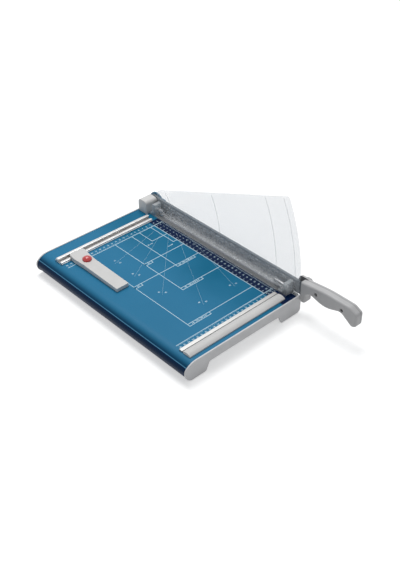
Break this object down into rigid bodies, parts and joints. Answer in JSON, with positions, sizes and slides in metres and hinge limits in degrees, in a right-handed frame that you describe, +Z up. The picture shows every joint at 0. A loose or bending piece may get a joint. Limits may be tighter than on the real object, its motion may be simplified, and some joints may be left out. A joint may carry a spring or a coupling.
{
  "type": "lever guillotine",
  "caption": "Desk guillotine for business cards and A4 sheets: blue steel table with stops and backstop, lever-mounted blade on a rear pivot and a clear guard that presses the paper.",
  "frame": {"origin": "middle of the machine's footprint box on the desk, lever down", "axes": "+X to the right, across the table to the cutting edge; +Y from the handle to the pivot, along the cutting edge; +Z up"},
  "size_m": [0.3112, 0.5698, 0.2335],
  "materials": {
    "table_paint": "blue enamel with fine orange peel",
    "cap_plastic": "mid grey moulded plastic, fine texture",
    "light_plastic": "light warm grey moulded plastic",
    "handle_plastic": "mid grey moulded grip",
    "red_plastic": "red gloss",
    "clear_plastic": "clear moulded plastic",
    "aluminium": "natural anodised, drawn lines along the profile",
    "blade_steel": "ground blade steel",
    "beam_steel": "grey painted steel",
    "zinc_steel": "zinc plated steel",
    "screw_steel": "plated fasteners",
    "spring_steel": "spring steel",
    "bronze": "sintered bronze",
    "rubber": "black rubber"
  },
  "bodies": {
    "base": {"table_plate": "table_paint", "front_brace": "zinc_steel", "rear_brace": "zinc_steel", "blade_rail": "zinc_steel", "front_end_cap": "cap_plastic", "rear_end_cap": "cap_plastic", "rubber_feet": "rubber", "end_cap_screws": "screw_steel", "end_cap_nuts": "screw_steel", "back_rail": "aluminium", "front_rail_strip": "aluminium", "front_rail_bar": "light_plastic", "rail_screws": "screw_steel", "lower_blade": "blade_steel", "lower_blade_screws": "screw_steel", "pivot_bracket": "zinc_steel", "pivot_bracket_screws": "screw_steel", "pivot_bolt": "screw_steel", "pivot_spacer": "bronze", "pivot_springs": "spring_steel", "pivot_nut": "screw_steel", "hinge_cover": "light_plastic", "hinge_cover_screws": "screw_steel", "guard_bracket_rear": "clear_plastic", "guard_bracket_front": "clear_plastic", "guard_bracket_screws": "screw_steel", "guard_springs": "spring_steel"},
    "lever": {"lever_beam": "beam_steel", "upper_blade": "blade_steel", "upper_blade_screws": "screw_steel", "upper_blade_nuts": "screw_steel", "pivot_doubler": "table_paint", "doubler_rivets": "screw_steel", "pivot_bush": "bronze", "handle_near_half": "handle_plastic", "handle_far_half": "handle_plastic", "handle_screws": "screw_steel", "handle_nuts": "screw_steel"},
    "guard": {"guard_shield": "clear_plastic", "guard_pins": "screw_steel", "clamp_strip": "rubber"},
    "backstop": {"backstop_arm": "light_plastic", "clamp_shoe": "cap_plastic", "shoe_screws": "screw_steel", "button_spring": "spring_steel"},
    "button": {"release_button": "red_plastic"}
  },
  "joints": [
    {"name": "lever_pivot", "type": "hinge", "parent": "base", "child": "lever", "pos_m": [0.1392, 0.2654, 0.053], "axis": [-1, 0, 0], "range_deg": [0, 50]},
    {"name": "guard_lift", "type": "slide", "parent": "base", "child": "guard", "axis": [0, 0, 1], "range_m": [0, 0.006], "deforming": ["guard_springs"]},
    {"name": "backstop_slide", "type": "slide", "parent": "base", "child": "backstop", "axis": [1, 0, 0], "range_m": [-0.02, 0.165]},
    {"name": "button_press", "type": "slide", "parent": "backstop", "child": "button", "axis": [0, 0, -1], "range_m": [0, 0.002], "stiffness_N_per_m": 800, "springref_m": -0.0005, "deforming": ["button_spring"]}
  ],
  "couplings": [
    {"joint": "guard_lift", "follows": "lever_pivot", "m_per_rad": 0.006875}
  ]
}
